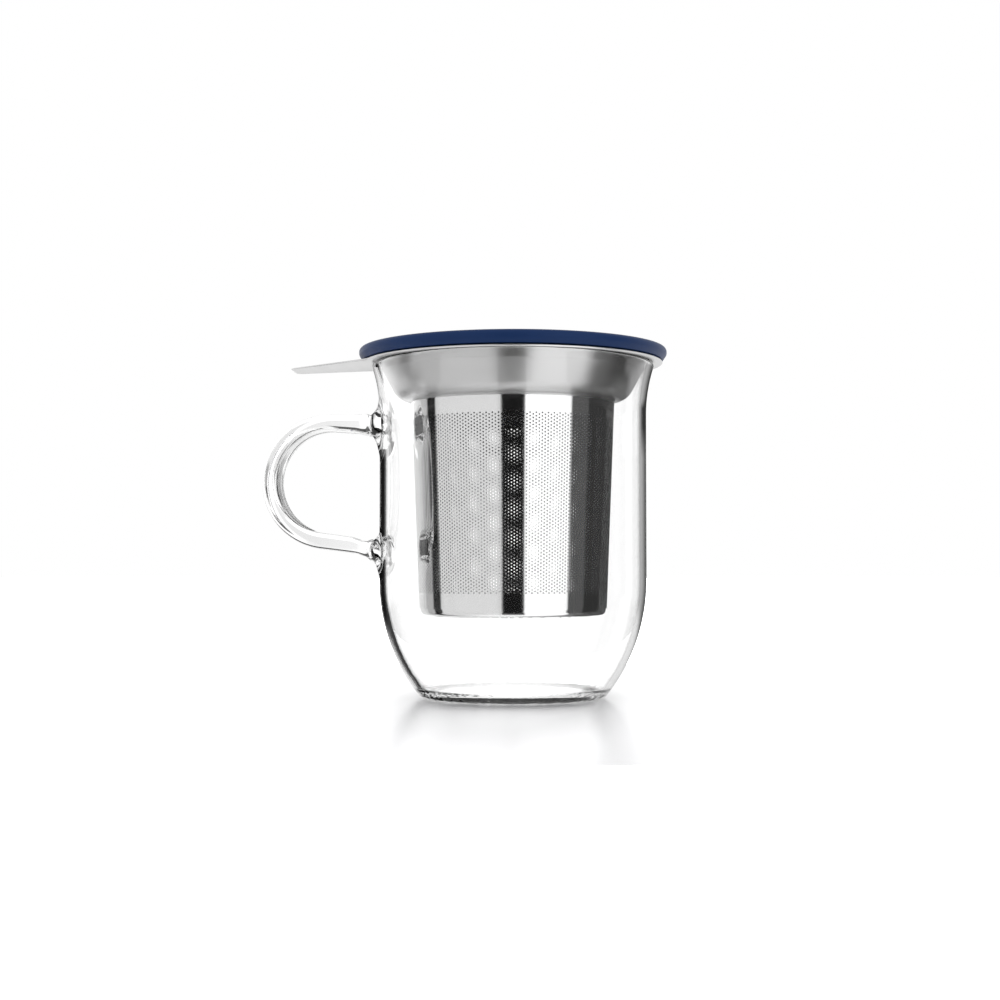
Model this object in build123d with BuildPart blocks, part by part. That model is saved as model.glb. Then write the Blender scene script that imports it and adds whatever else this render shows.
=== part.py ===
from build123d import *
import os
from math import cos, radians, sin, sqrt, tan

# Lidded glass tea mug with a lift-out infuser. Millimetres, +Z up. The origin is where the
# mug's axis meets the table, and the handle and the infuser's tab point along -X.
# Every round piece is drawn as a section in the XZ plane, (radius, height), and turned about Z.

# Glass body
BODY_R = 38.6  # outside of the straight middle
GLASS = 1.9  # wall thickness
FLOOR = 2.4
FOOT_FILLET = 2.5
FLOOR_FILLET = 4.0
BELLY_TOP = 34.0  # the round belly ends and the straight middle begins
BELLY_ARC = 53.5
FLARE_START = 81.5  # the straight middle ends and the mouth begins to open
FLARE_ARC = 45.5
RIM_Z = 96.7
LIP = 1.2  # radius of the fire-polished bead on the rim
LIP_AT = 39.6  # radius of the circle that the bead's middle runs along

# Glass handle: a flat bar bent round a D. Its two runs fall slightly towards the body, and
# flare where they are welded to it.
HANDLE_WIDTH = 16.0
HANDLE_EDGE = 1.1  # rounding along the bar
BEND_OUTSIDE = (-52.5, 62.35)  # middle and radius of the bend's outside
BEND_OUTSIDE_R = 19.3
BEND_INSIDE = (-53.0, 62.35)  # the same for its inside, so the bar is thinnest at the far left
BEND_INSIDE_R = 14.95
UPPER_FALL = 4.0  # degrees
LOWER_FALL = 7.0
WELD_ROOT = -37.2  # within the wall's thickness
# Where a run starts to flare, and how high on the wall its flare ends
UPPER_OUTSIDE_FLARE = (-41.3, 85.9)
UPPER_INSIDE_FLARE = (-41.8, 69.6)
LOWER_INSIDE_FLARE = (-40.4, 48.4)
LOWER_OUTSIDE_FLARE = (-43.4, 35.8)
FLARE_FILLET = 1.5

# Infuser: sheet steel
COLLAR_SHEET = 0.5
FLANGE_R = 43.1
FLANGE_REST = 0.05  # between the flange and the glass lip
FLANGE_FALL = 5.0  # degrees below level, towards the outside
NECK_R = 37.95
NECK_END = 94.4
BOWL_END_R = 33.1  # where the bowl's slope would meet the ledge
LEDGE_Z = 85.7
NECK_BEND = 1.0
BOWL_START_BEND = 1.4
BOWL_END_BEND = 5.0
HEM_BEND = 0.8  # the wall begins below this bend
HEM = 2.6  # the ledge's turned-down edge, inside the top of the wall

TAB_TIP = -62.2
TAB_TIP_WIDTH = 11.6
TAB_ROOT = -36.0  # within the flange
TAB_ROOT_WIDTH = 31.0
TAB_CORNER = 1.4
TAB_ROOT_FILLET = 3.0

WALL_SHEET = 0.35
WALL_TOP_R = 29.45
WALL_END_R = 27.15
WALL_END_Z = 25.9

BASE_SHEET = 0.4
BASE_Z = 24.0
BASE_BEND = 1.3
BASE_RIM_Z = 29.0  # the pan's upright rim ends here, inside the end of the wall

# Lid
LID_R = 44.6
LID_TOP = 100.6
LID_REST = 0.1  # between the lid and the flange
LID_LIP_R = 43.5
LID_WIDEST_Z = 98.7  # the side slopes out from the lip up to here
LID_BEAD = 3.8  # width of the raised rim round the top
LID_DISH = 1.0  # depth of the top inside that rim
LID_ROUND = 1.2
LID_RING_R = 37.1  # locating ring inside the collar's mouth
LID_RING_WALL = 1.4
LID_RING_DEPTH = 2.3

os.makedirs("parts", exist_ok=True)


def belly_r(z, inset=0.0):
    """Radius of the belly's outline at height z, or of an outline inset from it."""
    return BODY_R - BELLY_ARC + sqrt((BELLY_ARC - inset) ** 2 - (z - BELLY_TOP) ** 2)


def mouth_r(z, inset=0.0):
    """The same for the flared mouth."""
    return BODY_R + FLARE_ARC - sqrt((FLARE_ARC + inset) ** 2 - (z - FLARE_START) ** 2)


def flange_z(r):
    """Height of the flange's underside, which just clears the top of the glass lip."""
    return RIM_Z + FLANGE_REST + (LIP_AT - r) * tan(radians(FLANGE_FALL))


def wall_r(z):
    """Radius of the outside of the basket's conical wall."""
    return WALL_END_R + (z - WALL_END_Z) * (WALL_TOP_R - WALL_END_R) / (LEDGE_Z - WALL_END_Z)


def corner(point):
    """The vertex of the sketch in hand that lies at a point."""
    return vertices().sort_by_distance(point)[0]


# The glass body: floor and wall in one outline, with the lip's bead over the wall's end.
lip_z = RIM_Z - LIP
bore_r = BODY_R - GLASS
foot = (belly_r(0), 0)
floor_edge = (belly_r(FLOOR, GLASS), FLOOR)
mouth_outside = (mouth_r(lip_z), lip_z)
mouth_inside = (mouth_r(lip_z, GLASS), lip_z)
with BuildPart() as mug_body:
    with BuildSketch(Plane.XZ):
        with BuildLine():
            Polyline((0, FLOOR), (0, 0), foot)
            RadiusArc(foot, (BODY_R, BELLY_TOP), -BELLY_ARC)
            Line((BODY_R, BELLY_TOP), (BODY_R, FLARE_START))
            RadiusArc((BODY_R, FLARE_START), mouth_outside, FLARE_ARC)
            Line(mouth_outside, mouth_inside)
            RadiusArc(mouth_inside, (bore_r, FLARE_START), -FLARE_ARC - GLASS)
            Line((bore_r, FLARE_START), (bore_r, BELLY_TOP))
            RadiusArc((bore_r, BELLY_TOP), floor_edge, BELLY_ARC - GLASS)
            Line(floor_edge, (0, FLOOR))
        make_face()
        fillet(corner(foot), FOOT_FILLET)
        fillet(corner(floor_edge), FLOOR_FILLET)
        with Locations((LIP_AT, lip_z)):
            Circle(LIP)
    revolve(axis=Axis.Z)
mug_body.part.label = "mug_body"
export_step(mug_body.part, "parts/mug_body.step")


def on_bend(middle, radius, angle):
    """The point at an angle on the handle's bend, where a run leaves it at a tangent."""
    return (middle[0] + radius * cos(radians(angle)), middle[1] + radius * sin(radians(angle)))


def along_run(start, x, fall):
    """The point at x on a run that leaves its start and falls by so many degrees."""
    return (x, start[1] - (x - start[0]) * tan(radians(fall)))


# The handle: its outline seen from the side, as wide as the bar, then cut to the wall.
upper_outside = on_bend(BEND_OUTSIDE, BEND_OUTSIDE_R, 90 - UPPER_FALL)
lower_outside = on_bend(BEND_OUTSIDE, BEND_OUTSIDE_R, 270 - LOWER_FALL)
upper_inside = on_bend(BEND_INSIDE, BEND_INSIDE_R, 90 - UPPER_FALL)
lower_inside = on_bend(BEND_INSIDE, BEND_INSIDE_R, 270 - LOWER_FALL)
far_outside = on_bend(BEND_OUTSIDE, BEND_OUTSIDE_R, 180)
far_inside = on_bend(BEND_INSIDE, BEND_INSIDE_R, 180)
flares = [
    along_run(upper_outside, UPPER_OUTSIDE_FLARE[0], UPPER_FALL),
    along_run(upper_inside, UPPER_INSIDE_FLARE[0], UPPER_FALL),
    along_run(lower_inside, LOWER_INSIDE_FLARE[0], LOWER_FALL),
    along_run(lower_outside, LOWER_OUTSIDE_FLARE[0], LOWER_FALL),
]
roots = [
    (WELD_ROOT, flare[1])
    for flare in (UPPER_OUTSIDE_FLARE, UPPER_INSIDE_FLARE, LOWER_INSIDE_FLARE, LOWER_OUTSIDE_FLARE)
]
with BuildPart() as mug_handle:
    with BuildSketch(Plane.XZ):
        with BuildLine():
            Polyline(upper_outside, flares[0], roots[0], roots[1], flares[1], upper_inside)
            ThreePointArc(upper_inside, far_inside, lower_inside)
            Polyline(lower_inside, flares[2], roots[2], roots[3], flares[3], lower_outside)
            ThreePointArc(lower_outside, far_outside, upper_outside)
        make_face()
        for flare in flares:
            fillet(corner(flare), FLARE_FILLET)
    extrude(amount=HANDLE_WIDTH / 2, both=True)
    sides = faces().filter_by(Axis.Y)
    fillet([edge for edge in sides.edges() if edge.center().X < WELD_ROOT], HANDLE_EDGE)
    add(mug_body.part, mode=Mode.SUBTRACT)
mug_handle.part.label = "mug_handle"
export_step(mug_handle.part, "parts/mug_handle.step")

# The collar: one sheet from the flange through the neck and the bowl to the hem. The flange
# is turned as wide as the tab is long, and then trimmed to the plan of flange and tab.
hem_top = (wall_r(LEDGE_Z) - WALL_SHEET, LEDGE_Z)
hem_end = (wall_r(LEDGE_Z - HEM) - WALL_SHEET, LEDGE_Z - HEM)
blank_r = -TAB_TIP + TAB_CORNER
with BuildPart() as infuser_collar:
    with BuildSketch(Plane.XZ):
        with BuildLine():
            FilletPolyline(
                (blank_r, flange_z(blank_r)),
                (NECK_R, flange_z(NECK_R)),
                (NECK_R, NECK_END),
                (BOWL_END_R, LEDGE_Z),
                hem_top,
                hem_end,
                radius=[NECK_BEND, BOWL_START_BEND, BOWL_END_BEND, HEM_BEND],
            )
            offset(amount=COLLAR_SHEET, side=Side.RIGHT)
        make_face()
    revolve(axis=Axis.Z)
    with BuildSketch():
        with BuildLine():
            Polyline(
                (TAB_ROOT, TAB_ROOT_WIDTH / 2),
                (TAB_TIP, TAB_TIP_WIDTH / 2),
                (TAB_TIP, -TAB_TIP_WIDTH / 2),
                (TAB_ROOT, -TAB_ROOT_WIDTH / 2),
                close=True,
            )
        make_face()
        fillet(vertices().group_by(Axis.X)[0], TAB_CORNER)
        Circle(FLANGE_R)
        fillet(vertices().sort_by(Axis.Y)[0], TAB_ROOT_FILLET)
        fillet(vertices().sort_by(Axis.Y)[-1], TAB_ROOT_FILLET)
    extrude(amount=LID_TOP, mode=Mode.INTERSECT)
infuser_collar.part.label = "infuser_collar"
export_step(infuser_collar.part, "parts/infuser_collar.step")

# The basket's wall: a rolled sheet, slightly conical.
with BuildPart() as infuser_wall:
    with BuildSketch(Plane.XZ):
        top_z = LEDGE_Z - HEM_BEND
        with BuildLine():
            Polyline(
                (wall_r(WALL_END_Z), WALL_END_Z),
                (wall_r(top_z), top_z),
                (wall_r(top_z) - WALL_SHEET, top_z),
                (wall_r(WALL_END_Z) - WALL_SHEET, WALL_END_Z),
                close=True,
            )
        make_face()
    revolve(axis=Axis.Z)
infuser_wall.part.label = "infuser_wall"
export_step(infuser_wall.part, "parts/infuser_wall.step")

# The basket's base: a shallow pan, pressed into the end of the wall.
with BuildPart() as infuser_base:
    with BuildSketch(Plane.XZ):
        with BuildLine():
            FilletPolyline(
                (0, BASE_Z),
                (wall_r(BASE_Z) - WALL_SHEET, BASE_Z),
                (wall_r(BASE_RIM_Z) - WALL_SHEET, BASE_RIM_Z),
                radius=BASE_BEND,
            )
            offset(amount=BASE_SHEET, side=Side.LEFT)
        make_face()
    revolve(axis=Axis.Z)
infuser_base.part.label = "infuser_base"
export_step(infuser_base.part, "parts/infuser_base.step")


def lid_seat_z(r):
    """Height of the lid's underside where it follows the flange."""
    return flange_z(r) + COLLAR_SHEET / cos(radians(FLANGE_FALL)) + LID_REST


# The lid: a disc with a thick rounded rim, a dished top and a locating ring underneath.
plate_z = lid_seat_z(NECK_R)
ring_z = plate_z - LID_RING_DEPTH
ring_bore = LID_RING_R - LID_RING_WALL
dish_z = LID_TOP - LID_DISH
widest = (LID_R, LID_WIDEST_Z)
top_edge = (LID_R, LID_TOP)
bead_edge = (LID_R - LID_BEAD, LID_TOP)
dish_edge = (LID_R - LID_BEAD - LID_DISH, dish_z)
with BuildPart() as lid:
    with BuildSketch(Plane.XZ):
        with BuildLine():
            Polyline(
                (0, plate_z),
                (ring_bore, plate_z),
                (ring_bore, ring_z),
                (LID_RING_R, ring_z),
                (LID_RING_R, plate_z),
                (NECK_R, plate_z),
                (LID_LIP_R, lid_seat_z(LID_LIP_R)),
                widest,
                top_edge,
                bead_edge,
                dish_edge,
                (0, dish_z),
                close=True,
            )
        make_face()
        for point in (widest, top_edge, bead_edge, dish_edge):
            fillet(corner(point), LID_ROUND)
    revolve(axis=Axis.Z)
lid.part.label = "lid"
export_step(lid.part, "parts/lid.step")
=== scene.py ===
# %% [markdown]
# # A glass tea mug with a steel infuser and a blue lid
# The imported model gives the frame: every piece below is made in metres, where the solid it
# stands for already is, and rides on the same body. So the pieces fit without being moved.

# %% Load the frame
from math import asin, atan2, ceil, cos, degrees, hypot, pi, radians, sin, sqrt, tan

import bmesh
import bpy
import numpy as np
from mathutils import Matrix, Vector


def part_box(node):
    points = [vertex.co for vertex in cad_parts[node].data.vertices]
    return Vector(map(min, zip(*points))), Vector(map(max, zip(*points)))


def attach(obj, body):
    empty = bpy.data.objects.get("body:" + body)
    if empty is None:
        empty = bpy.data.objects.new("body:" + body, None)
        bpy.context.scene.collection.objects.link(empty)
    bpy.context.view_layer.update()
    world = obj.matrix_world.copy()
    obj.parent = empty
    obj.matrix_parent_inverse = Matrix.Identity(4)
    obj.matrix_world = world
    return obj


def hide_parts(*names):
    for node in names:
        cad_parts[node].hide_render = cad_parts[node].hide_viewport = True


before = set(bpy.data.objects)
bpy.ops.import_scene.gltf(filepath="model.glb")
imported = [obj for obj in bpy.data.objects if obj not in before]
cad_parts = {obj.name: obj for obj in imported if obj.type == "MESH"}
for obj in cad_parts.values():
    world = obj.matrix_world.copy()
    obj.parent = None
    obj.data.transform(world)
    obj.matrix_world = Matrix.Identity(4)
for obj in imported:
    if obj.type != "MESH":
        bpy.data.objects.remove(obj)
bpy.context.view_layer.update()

# %% [markdown]
# ## Helpers
# The shapes are written in millimetres, as on a drawing, and turned into Blender's metres when
# the mesh is made. Colours are written as the hex values a painter would pick. Those are sRGB,
# and the shaders want linear light, so one function does that change. Another lays colours
# over each other, as coats of paint through masks, because most patterns here are built so.

# %% Units, colours and nodes
MM = 0.001


def linear(hex_colour):
    """The linear RGBA of an sRGB hex colour such as #1c355f."""
    channels = [int(hex_colour[i:i + 2], 16) / 255 for i in (1, 3, 5)]
    return [c / 12.92 if c <= 0.04045 else ((c + 0.055) / 1.055) ** 2.4 for c in channels] + [1.0]


def grey(level):
    """A linear grey, or a light brighter than white."""
    return [level] * 3 + [1.0]


def add(tree, kind, inputs=None, **settings):
    """Add a node. Its inputs are values, or other nodes' outputs, which are linked."""
    node = tree.nodes.new(kind)
    for name, value in settings.items():
        setattr(node, name, value)
    for socket, value in (inputs or {}).items():
        if isinstance(value, bpy.types.NodeSocket):
            tree.links.new(value, node.inputs[socket])
        else:
            node.inputs[socket].default_value = value
    return node


def new_material(name):
    """A material with an empty node tree, and the tree."""
    material = bpy.data.materials.new(name)
    material.use_nodes = True
    material.node_tree.nodes.clear()
    return material, material.node_tree


def layered(tree, base, *layers):
    """Lay colours over a base, each where its own mask is 1."""
    for mask, colour in layers:
        sockets = {0: mask, 6: base, 7: colour}  # a Mix node's factor and its two colours
        base = add(tree, "ShaderNodeMix", sockets, data_type="RGBA").outputs[2]
    return base


def show(tree, shader):
    """Link a shader to the material's output."""
    add(tree, "ShaderNodeOutputMaterial", {"Surface": shader.outputs[0]})


# %% [markdown]
# Round things start as an outline of (radius, height) points. A real edge is never sharp, so
# one function rounds the corners of an outline with arcs, as a fillet does in a CAD program.

# %% Outlines
def arc(centre, radius, start, end, step=0.25):
    """Points along an arc, from one angle to another in degrees, about a step apart."""
    count = max(2, ceil(abs(radians(end - start)) * radius / step))
    angles = np.radians(np.linspace(start, end, count + 1))
    return [(centre[0] + radius * cos(a), centre[1] + radius * sin(a)) for a in angles]


def rounded(corners, step=0.25):
    """The outline through corners (x, y, radius), each rounded by an arc of its radius."""
    points = []
    for i, (x, y, radius) in enumerate(corners):
        here = Vector((x, y))
        if radius == 0 or i in (0, len(corners) - 1):
            points.append((x, y))
            continue
        back = (Vector(corners[i - 1][:2]) - here).normalized()
        on = (Vector(corners[i + 1][:2]) - here).normalized()
        half = back.angle(on) / 2
        middle = here + (back + on).normalized() * radius / sin(half)
        first = here + back * radius / tan(half) - middle
        last = here + on * radius / tan(half) - middle
        turn = pi - 2 * half
        count = max(2, ceil(radius * turn / step))
        for share in np.linspace(0, 1, count + 1):
            spoke = (first * sin((1 - share) * turn) + last * sin(share * turn)) / sin(turn)
            points.append(tuple(middle + spoke))
    return points


def offset(points, distance):
    """An open outline's parallel, on its right for a positive distance."""
    line = np.array(points)
    along = np.gradient(line, axis=0)
    along /= np.linalg.norm(along, axis=1)[:, None]
    right = np.stack([along[:, 1], -along[:, 0]], axis=1)
    return [tuple(p) for p in line + right * distance]


# %% [markdown]
# A turned mesh is a stack of rings, one ring for each point of the outline. Neighbouring rings
# are joined by quads. Where a ring has no radius its points are merged into one, so a disc
# closes without a hole. Edges sharper than 40 degrees are marked sharp and the rest is shaded
# smooth, so that reflections run over the facets without steps.

# %% Meshes
SHARP = radians(40)
MERGE = 0.002  # points closer than this are one


def quads_between(first, second):
    """Quads that join two rings of as many vertex numbers."""
    count = len(first)
    return [(first[i], first[(i + 1) % count], second[(i + 1) % count], second[i])
            for i in range(count)]


def ring_quads(rings, closed=False):
    """Quads over a stack of rings of vertex numbers."""
    pairs = list(zip(rings, rings[1:])) + ([(rings[-1], rings[0])] if closed else [])
    return [quad for first, second in pairs for quad in quads_between(first, second)]


def make(name, points, faces):
    """A mesh object from points in millimetres, with outward faces and smooth shading."""
    mesh = bpy.data.meshes.new(name)
    mesh.from_pydata([tuple(p) for p in np.array(points) * MM], [], faces)
    work = bmesh.new()
    work.from_mesh(mesh)
    bmesh.ops.remove_doubles(work, verts=work.verts, dist=MERGE * MM)
    bmesh.ops.recalc_face_normals(work, faces=work.faces)
    work.to_mesh(mesh)
    work.free()
    return shaded(name, mesh)


def shaded(name, mesh, sharp=SHARP):
    """A smooth-shaded object of a mesh, with its sharp edges marked."""
    mesh.shade_smooth()
    mesh.set_sharp_from_angle(angle=sharp)
    piece = bpy.data.objects.new(name, mesh)
    bpy.context.scene.collection.objects.link(piece)
    return piece


def turned(name, outline, around=256):
    """The mesh of an outline turned about Z."""
    turns = np.linspace(0, 2 * pi, around, endpoint=False)
    points = [(r * cos(t), r * sin(t), z) for r, z in outline for t in turns]
    rings = [list(range(i * around, (i + 1) * around)) for i in range(len(outline))]
    return make(name, points, ring_quads(rings))


def dress(piece, material, slot, body, *nodes):
    """Give a piece its material, let it ride on a body and stand for CAD nodes. The slot is not used.
    """
    piece.data.materials.clear()
    piece.data.materials.append(material)
    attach(piece, body)
    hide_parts(*nodes)
    print(piece.name, len(piece.data.vertices), "vertices,", len(piece.data.polygons), "faces")


# %% [markdown]
# ## Borosilicate glass
# Lab glass and thin mugs are borosilicate: clear, with an index of refraction near 1.47, and
# fire-polished, so its roughness is zero. The wall was blown and turned by hand against a
# former, which leaves a very slow waviness. That is a bump of two thousandths of a
# millimetre over some 14 mm, and it makes the dark lines at the edges waver a little.
#
# The ring that the mug stands on was set down while it was soft, and its skin is stippled.
# The real grain is finer; it is drawn 1.6 mm wide, so that the foot's line looks mottled. Two
# masks keep it on the ring: one by height, and one by the distance from the mug's axis.

# %% Glass
GLASS_WAVE = 14 * MM
GLASS_WAVE_HEIGHT = 0.002 * MM
STIPPLE = 1.6 * MM
STIPPLE_HEIGHT = 0.5 * MM
STIPPLE_TOP = 1.6 * MM
STIPPLE_FULL = 0.6 * STIPPLE_TOP  # from here down the stipple has its full height
STIPPLE_FROM = 21.5 * MM
STIPPLE_TO = STIPPLE_FROM + STIPPLE


def borosilicate_glass():
    material, tree = new_material("borosilicate_glass")
    place = add(tree, "ShaderNodeTexCoord")
    wave = add(tree, "ShaderNodeTexNoise",
               {"Vector": place.outputs["Object"], "Scale": 1 / GLASS_WAVE, "Detail": 1.0})
    bump = add(tree, "ShaderNodeBump",
               {"Height": wave.outputs[0], "Distance": GLASS_WAVE_HEIGHT, "Strength": 1.0})
    height = add(tree, "ShaderNodeSeparateXYZ", {0: place.outputs["Object"]})
    low = add(tree, "ShaderNodeMapRange",
              {"Value": height.outputs["Z"], "From Min": STIPPLE_TOP, "From Max": STIPPLE_FULL})
    in_plan = add(tree, "ShaderNodeVectorMath", {0: place.outputs["Object"], 1: (1.0, 1.0, 0.0)},
                  operation="MULTIPLY")
    radius = add(tree, "ShaderNodeVectorMath", {0: in_plan.outputs[0]}, operation="LENGTH")
    on_ring = add(tree, "ShaderNodeMapRange",
                  {"Value": radius.outputs["Value"], "From Min": STIPPLE_FROM,
                   "From Max": STIPPLE_TO})
    on_ring = add(tree, "ShaderNodeMath", {0: low.outputs[0], 1: on_ring.outputs[0]},
                  operation="MULTIPLY")
    dots = add(tree, "ShaderNodeTexNoise",
               {"Vector": place.outputs["Object"], "Scale": 1 / STIPPLE, "Detail": 1.0})
    stipple = add(tree, "ShaderNodeBump",
                  {"Height": dots.outputs[0], "Distance": STIPPLE_HEIGHT,
                   "Strength": on_ring.outputs[0], "Normal": bump.outputs[0]})
    shader = add(tree, "ShaderNodeBsdfPrincipled",
                 {"Base Color": linear("#fefefe"), "Roughness": 0.0, "IOR": 1.47,
                  "Transmission Weight": 1.0, "Normal": stipple.outputs[0]})
    show(tree, shader)
    return material


glass = borosilicate_glass()

# %% [markdown]
# ## The mug's body
# Its wall is one even thickness, so the inside is the outside's outline moved in by that much.
# The outline follows the blown shape: a foot ring, a round belly, a straight middle, a mouth
# that flares, and a bead where the flame rounded the rim. Rows one millimetre apart on the
# wall leave a regular grid, which the handle's welds need. Inside the foot ring the bottom is
# a little higher, as on most glasses, and the ring is uneven by a tenth of a millimetre.

# %% Body outline
BODY_R = 38.6
GLASS = 1.9
FLOOR = 2.4
FOOT_FILLET = 2.5
FLOOR_FILLET = 4.0
RECESS = 1.0  # the bottom inside the foot ring is this much higher than the ring
RING = 1.4  # width of the ring's flat
RING_EDGE = 0.3
RING_WAVE = 0.12
RING_WAVES = ((17, 0), (29, 1), (43, 2))  # waves round the ring, and where each begins
BELLY_TOP = 34.0
BELLY_ARC = 53.5
FLARE_START = 81.5
FLARE_ARC = 45.5
LIP = 1.2  # radius of the solid's bead, whose middle the flange is measured from
WALL_ROWS = range(3, 96)  # heights of the grid's rows on the outside
INSIDE_ROWS = range(95, 6, -1)
rim_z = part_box("mug_body")[1].z / MM
lip_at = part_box("mug_body")[1].y / MM - LIP


def wall_radius(z, inset=0.0):
    """The glass wall's radius at a height, or that of a surface inset from the outside."""
    if z < BELLY_TOP:
        return BODY_R - BELLY_ARC + sqrt((BELLY_ARC - inset) ** 2 - (z - BELLY_TOP) ** 2)
    if z > FLARE_START:
        return BODY_R + FLARE_ARC - sqrt((FLARE_ARC + inset) ** 2 - (z - FLARE_START) ** 2)
    return BODY_R - inset


def corner_arc(inset, level, fillet):
    """The arc that rounds the belly into a flat at some level: centre, and its end's angle."""
    reach = BELLY_ARC - inset - fillet
    rise = BELLY_TOP - level - fillet
    centre = (BODY_R - BELLY_ARC + sqrt(reach ** 2 - rise ** 2), level + fillet)
    return centre, -degrees(asin(rise / reach))


foot_centre, foot_angle = corner_arc(0, 0, FOOT_FILLET)
floor_centre, floor_angle = corner_arc(GLASS, FLOOR, FLOOR_FILLET)
ring_r = foot_centre[0]
foot = [(0, RECESS), (8, RECESS), (16, RECESS)]
foot += rounded([(20, RECESS, 0), (ring_r - RING - RECESS, RECESS, RING_EDGE),
                 (ring_r - RING, 0, RING_EDGE), (ring_r, 0, 0)])[:-1]
foot += arc(foot_centre, FOOT_FILLET, -90, foot_angle)
outside = [(wall_radius(z), z) for z in WALL_ROWS]
lip_middle = (wall_radius(rim_z - GLASS / 2, GLASS / 2), rim_z - GLASS / 2)
lip_lean = degrees(asin((lip_middle[1] - FLARE_START) / FLARE_ARC))
lip = arc(lip_middle, GLASS / 2, -lip_lean, 180 - lip_lean, step=0.15)
inside = [(wall_radius(z, GLASS), z) for z in INSIDE_ROWS]
floor = arc(floor_centre, FLOOR_FILLET, floor_angle, -90)
floor += [(18, FLOOR), (10, FLOOR), (0, FLOOR)]
body_outline = foot + outside + lip + inside + floor
print("body outline", len(body_outline), "points, foot ring radius", round(foot_centre[0], 2))

# %% [markdown]
# ## The handle and its welds
# The handle is a flat bar of glass, bent round and melted onto the wall at both ends. It could
# be a second mesh pushed into the wall, but where two glass meshes overlap, light bends at a
# surface that isn't there on the real mug. So a window is left open in the wall's grid at each
# weld, and rings of as many points run from the window, over the weld and along the bar to the
# other window. Body and handle are then one closed skin, as they are one piece of glass.
#
# Each ring has two measures: outward from the bend, and across the bar. A square of points is
# eased into a soft oval on the wall, and from there into the bar's rounded rectangle.

# %% Rings of the handle
AROUND = 240
WINDOW = 12  # half the window's width and height, in cells of the wall's grid
BAR_WIDTH = 16.0
BAR_EDGE = 1.0
EDGE_POWER = 7  # a high power, so only the points near a corner lean round it
WELD_WIDTH = 19.0
square = [(t, WINDOW) for t in range(-WINDOW, WINDOW)]
square += [(WINDOW, t) for t in range(WINDOW, -WINDOW, -1)]
square += [(-a, -b) for a, b in square]
unit = [(a / WINDOW, b / WINDOW) for a, b in square]


def oval(half_width, half_height):
    """A square's points eased onto an oval."""
    return [(half_width * a * sqrt(1 - b * b / 2), half_height * b * sqrt(1 - a * a / 2))
            for a, b in unit]


def bar_section(half_width, half_height, edge):
    """A square's points on a rectangle with rounded edges."""
    points = []
    for a, b in unit:
        lean = Vector((a ** EDGE_POWER, b ** EDGE_POWER)).normalized() * edge
        points.append((a * (half_width - edge) + lean.x, b * (half_height - edge) + lean.y))
    return points


def mixed(first, second, share):
    """Points part of the way from one ring to another."""
    return [tuple(np.array(p) * (1 - share) + np.array(q) * share) for p, q in zip(first, second)]


# %% [markdown]
# A weld is drawn as the heights of its two outlines at growing distances from the wall. The
# foot of the weld spreads on the wall. Where the bar's end met it, the two melts didn't quite
# fill the joint, so a rounded groove runs round each weld, 2.5 mm out from the wall.

# %% Weld outlines
# distance from the wall, height of the side away from the D's middle, height of the other side
UPPER_WELD = [
    (0.0, 86.9, 68.9), (0.25, 85.8, 70.5), (0.6, 84.6, 72.1), (1.0, 83.6, 73.5), (1.5, 82.8, 74.7),
    (1.8, 82.5, 75.1), (2.0, 82.35, 75.3), (2.2, 82.25, 75.4), (2.45, 82.15, 75.5), (2.7, 82.05, 75.6),
    (2.9, 82.0, 75.7), (3.1, 81.9, 75.8), (3.6, 81.8, 76.0), (4.4, 81.65, 76.3), (5.4, 81.6, 76.55),
    (6.5, 81.55, 76.75),
]
LOWER_WELD = [
    (0.0, 34.3, 48.2), (0.25, 35.4, 47.4), (0.6, 36.8, 46.8), (1.0, 38.0, 46.2), (1.5, 39.0, 45.7),
    (1.8, 39.4, 45.5), (2.0, 39.6, 45.4), (2.2, 39.8, 45.3), (2.45, 39.95, 45.2), (2.7, 40.1, 45.15),
    (2.9, 40.2, 45.15), (3.1, 40.35, 45.15), (3.8, 40.7, 45.15), (4.8, 41.1, 45.25), (6.0, 41.45, 45.7),
    (7.4, 41.65, 46.3),
]
BAR_STARTS_AT = 4.4  # from this distance on, the section is the bar's
GROOVE = 0.45
GROOVE_AT, GROOVE_HALF = 2.45, 0.7


def wall_x(y, z):
    """Where the outside of the wall is, on the handle's side."""
    return -sqrt(wall_radius(z) ** 2 - y ** 2)


def weld_rings(weld):
    """The rings of a weld, from the wall to the bar."""
    rings = []
    foot_oval = oval(WELD_WIDTH / 2, 1)
    for distance, away, near in weld:
        pinch = GROOVE * max(0, cos((distance - GROOVE_AT) / GROOVE_HALF * pi / 2))
        pinch = pinch if abs(distance - GROOVE_AT) < GROOVE_HALF else 0
        share = min(1.0, distance / BAR_STARTS_AT)
        share = share * share * (3 - 2 * share)
        middle, half = (away + near) / 2, (away - near) / 2
        edge = bar_section(BAR_WIDTH / 2, abs(half), min(BAR_EDGE, abs(half) * 0.8))
        wide = [(a, b / abs(half)) for a, b in edge]
        section = mixed(foot_oval, wide, share)
        ring = []
        for across, out in section:
            across *= 1 - pinch / (BAR_WIDTH / 2)
            z = middle + out * (half - pinch)
            on_wall = wall_x(across, z)
            x = on_wall * (1 - share) - BODY_R * share - distance
            ring.append((x, across, z))
        rings.append(ring)
    return rings


# %% [markdown]
# The bar itself follows two circles, one for its outside and one for its inside. Their
# middles are half a millimetre apart, which makes the bar thinnest where it was bent most.

# %% The bar's path
OUTSIDE_MIDDLE, OUTSIDE_R = (-52.5, 62.1), 19.5
INSIDE_MIDDLE, INSIDE_R = (-53.0, 62.35), 14.95
UPPER_FALL, LOWER_FALL = 4.0, 7.0
BEND_STEPS = 120


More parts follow.
